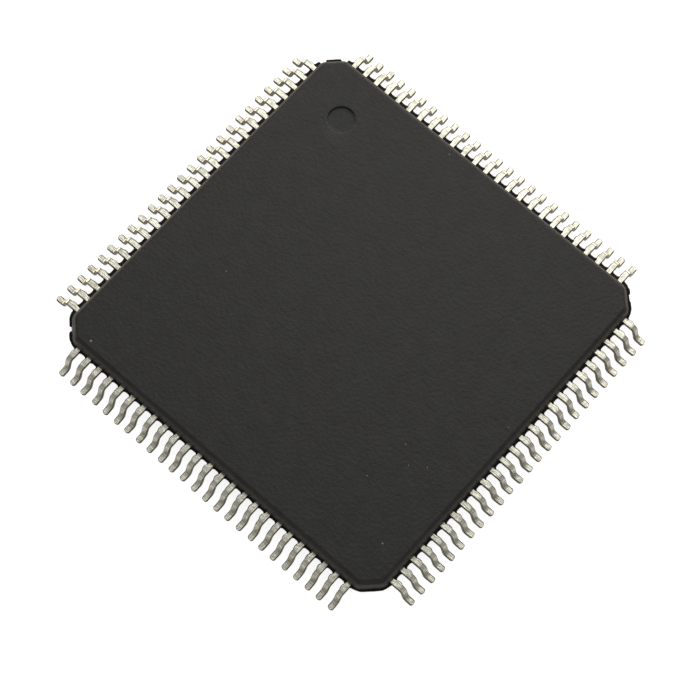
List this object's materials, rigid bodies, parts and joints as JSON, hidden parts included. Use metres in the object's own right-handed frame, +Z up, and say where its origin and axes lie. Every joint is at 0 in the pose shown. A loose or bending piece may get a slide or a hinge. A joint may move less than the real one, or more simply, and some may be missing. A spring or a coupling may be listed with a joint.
{
  "type": "quad flat package chip",
  "caption": "Thin square moulded chip with cut corners, a pin 1 dimple and a row of gull-wing leads along every side, for soldering to a circuit board.",
  "frame": {"origin": "centre of the footprint, on the seating plane under the feet of the leads", "axes": "+Z is up, away from the board; the pin 1 corner is at -X +Y, and the pins count anticlockwise seen from above, starting down the -X side"},
  "size_m": [0.016, 0.016, 0.0011],
  "materials": {
    "mould_compound": "fine matte, as moulded",
    "tin_plate": "matte tin plating",
    "copper_leadframe": "bare stamped copper alloy",
    "die_attach": "silver-filled adhesive",
    "silicon": "polished",
    "gold_wire": "bright drawn wire"
  },
  "bodies": {
    "root": {"mould_body": "mould_compound", "die_pad": "copper_leadframe", "die_attach": "die_attach", "silicon_die": "silicon", "leads_001_005": "tin_plate", "leads_006_010": "tin_plate", "leads_011_015": "tin_plate", "leads_016_020": "tin_plate", "leads_021_025": "tin_plate", "leads_026_030": "tin_plate", "leads_031_035": "tin_plate", "leads_036_040": "tin_plate", "leads_041_045": "tin_plate", "leads_046_050": "tin_plate", "leads_051_055": "tin_plate", "leads_056_060": "tin_plate", "leads_061_065": "tin_plate", "leads_066_070": "tin_plate", "leads_071_075": "tin_plate", "leads_076_080": "tin_plate", "leads_081_085": "tin_plate", "leads_086_090": "tin_plate", "leads_091_095": "tin_plate", "leads_096_100": "tin_plate", "bond_wires_001_005": "gold_wire", "bond_wires_006_010": "gold_wire", "bond_wires_011_015": "gold_wire", "bond_wires_016_020": "gold_wire", "bond_wires_021_025": "gold_wire", "bond_wires_026_030": "gold_wire", "bond_wires_031_035": "gold_wire", "bond_wires_036_040": "gold_wire", "bond_wires_041_045": "gold_wire", "bond_wires_046_050": "gold_wire", "bond_wires_051_055": "gold_wire", "bond_wires_056_060": "gold_wire", "bond_wires_061_065": "gold_wire", "bond_wires_066_070": "gold_wire", "bond_wires_071_075": "gold_wire", "bond_wires_076_080": "gold_wire", "bond_wires_081_085": "gold_wire", "bond_wires_086_090": "gold_wire", "bond_wires_091_095": "gold_wire", "bond_wires_096_100": "gold_wire"}
  },
  "joints": []
}
